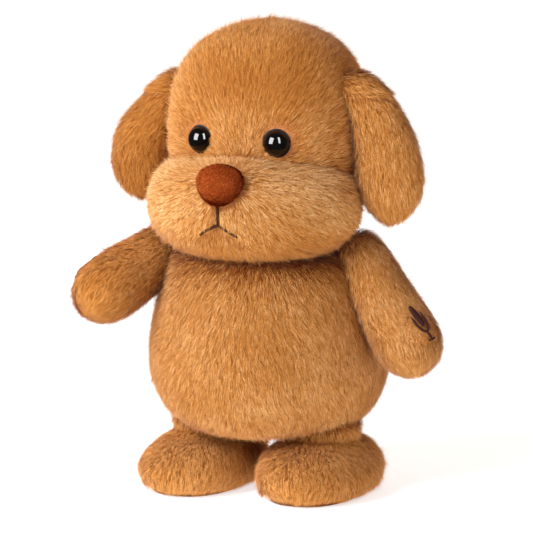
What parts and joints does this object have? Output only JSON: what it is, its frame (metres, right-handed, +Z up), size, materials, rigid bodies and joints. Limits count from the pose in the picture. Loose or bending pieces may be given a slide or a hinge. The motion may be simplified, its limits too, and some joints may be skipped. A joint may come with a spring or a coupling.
{
  "type": "interactive plush pet",
  "caption": "Standing tan plush puppy with floppy ears that walks and sings: press switches in the hands, a geared motor in the body and rollers under the feet.",
  "frame": {"origin": "middle of the bounding box, on the floor that the soles stand on", "axes": "+Z up; the puppy faces -Y, so +X is its own left"},
  "size_m": [0.1673, 0.1062, 0.222],
  "materials": {
    "plush": "short tan fur pile",
    "eye_gloss": "polished black",
    "nose_flock": "flocked",
    "thread": "stitched thread",
    "patch": "embroidered cloth",
    "white_plastic": "moulded",
    "dark_plastic": "moulded",
    "steel": "plated",
    "cell_jacket": "printed sleeve",
    "circuit_board": "solder mask",
    "rubber": "moulded"
  },
  "bodies": {
    "torso": {"body_plush": "plush", "torso_shell_front": "white_plastic", "torso_shell_rear": "white_plastic", "shell_screw_1": "steel", "shell_screw_2": "steel", "shell_screw_3": "steel", "shell_screw_4": "steel", "back_plate": "dark_plastic", "battery_box": "dark_plastic", "battery_1": "cell_jacket", "battery_2": "cell_jacket", "battery_3": "cell_jacket", "power_switch_body": "dark_plastic", "main_pcb": "circuit_board", "speaker": "dark_plastic", "microphone": "steel", "motor": "steel", "gearbox_plate_left": "dark_plastic", "gearbox_plate_right": "dark_plastic", "neck_post": "white_plastic"},
    "battery_cover": {"battery_door": "dark_plastic", "battery_door_screw": "steel"},
    "power_knob": {"power_switch_slider": "white_plastic"},
    "head": {"head_plush": "plush", "muzzle_plush": "plush", "head_frame": "white_plastic", "eye_left": "eye_gloss", "eye_right": "eye_gloss", "eye_washer_left": "white_plastic", "eye_washer_right": "white_plastic", "nose": "nose_flock", "nose_washer": "white_plastic", "mouth_seam": "thread", "mouth_stitch": "thread"},
    "left_ear": {"ear_left": "plush"},
    "right_ear": {"ear_right": "plush"},
    "left_arm": {"arm_left": "plush", "hand_switch_left": "dark_plastic"},
    "right_arm": {"arm_right": "plush", "hand_switch_right": "dark_plastic"},
    "left_hand_button": {"hand_button_left": "white_plastic", "microphone_patch": "patch"},
    "right_hand_button": {"hand_button_right": "white_plastic", "music_patch": "patch"},
    "left_leg": {"leg_frame_left": "white_plastic", "foot_left": "plush", "sole_left": "dark_plastic"},
    "right_leg": {"leg_frame_right": "white_plastic", "foot_right": "plush", "sole_right": "dark_plastic"},
    "left_roller": {"roller_left": "rubber"},
    "right_roller": {"roller_right": "rubber"},
    "crank": {"crank_shaft": "steel", "crank_gear": "white_plastic", "crank_left": "white_plastic", "crank_right": "white_plastic"},
    "first_gear": {"gear_first": "white_plastic"},
    "pinion": {"motor_pinion": "steel"}
  },
  "joints": [
    {"name": "head_turn", "type": "hinge", "parent": "torso", "child": "head", "pos_m": [-0.00573, 0.00451, 0.128], "axis": [0, 0, 1], "range_deg": [-15, 15]},
    {"name": "left_ear_flap", "type": "hinge", "parent": "head", "child": "left_ear", "pos_m": [0.03877, 0.00451, 0.19], "axis": [0, -1, 0], "range_deg": [0, 70]},
    {"name": "right_ear_flap", "type": "hinge", "parent": "head", "child": "right_ear", "pos_m": [-0.05023, 0.00451, 0.19], "axis": [0, 1, 0], "range_deg": [0, 70]},
    {"name": "left_arm_swing", "type": "hinge", "parent": "torso", "child": "left_arm", "pos_m": [0.04127, 0.00451, 0.113], "axis": [-1, 0, 0], "range_deg": [-35, 77]},
    {"name": "right_arm_swing", "type": "hinge", "parent": "torso", "child": "right_arm", "pos_m": [-0.05273, 0.00451, 0.113], "axis": [-1, 0, 0], "range_deg": [-8, 26]},
    {"name": "left_hand_press", "type": "slide", "parent": "left_arm", "child": "left_hand_button", "axis": [-0.6654, 0.4658, -0.5833], "range_m": [0, 0.0012], "stiffness_N_per_m": 500, "springref_m": -0.0006},
    {"name": "right_hand_press", "type": "slide", "parent": "right_arm", "child": "right_hand_button", "axis": [0.7642, -0.0585, -0.6423], "range_m": [0, 0.0012], "stiffness_N_per_m": 500, "springref_m": -0.0006},
    {"name": "left_leg_stride", "type": "slide", "parent": "torso", "child": "left_leg", "axis": [0, -1, 0], "range_m": [-0.004, 0.004]},
    {"name": "right_leg_stride", "type": "slide", "parent": "torso", "child": "right_leg", "axis": [0, -1, 0], "range_m": [-0.004, 0.004]},
    {"name": "left_roller_spin", "type": "hinge", "parent": "left_leg", "child": "left_roller", "pos_m": [0.02427, -0.02149, 0.0046], "axis": [1, 0, 0], "continuous": true},
    {"name": "right_roller_spin", "type": "hinge", "parent": "right_leg", "child": "right_roller", "pos_m": [-0.03573, -0.02149, 0.0046], "axis": [1, 0, 0], "continuous": true},
    {"name": "crank_spin", "type": "hinge", "parent": "torso", "child": "crank", "pos_m": [-0.00573, 0.00451, 0.058], "axis": [1, 0, 0], "continuous": true},
    {"name": "first_gear_spin", "type": "hinge", "parent": "torso", "child": "first_gear", "pos_m": [-0.00573, 0.01277, 0.0698], "axis": [1, 0, 0], "continuous": true},
    {"name": "motor_spin", "type": "hinge", "parent": "torso", "child": "pinion", "pos_m": [-0.00023, 0.01055, 0.0824], "axis": [1, 0, 0], "continuous": true},
    {"name": "battery_door_pull", "type": "slide", "parent": "torso", "child": "battery_cover", "axis": [0, 1, 0], "range_m": [0, 0.02]},
    {"name": "power_slide", "type": "slide", "parent": "torso", "child": "power_knob", "axis": [1, 0, 0], "range_m": [0, 0.0038]}
  ],
  "couplings": [
    {"joint": "right_leg_stride", "follows": "left_leg_stride", "ratio": -1},
    {"joint": "first_gear_spin", "follows": "crank_spin", "ratio": -3.5},
    {"joint": "motor_spin", "follows": "crank_spin", "ratio": 10.5}
  ]
}
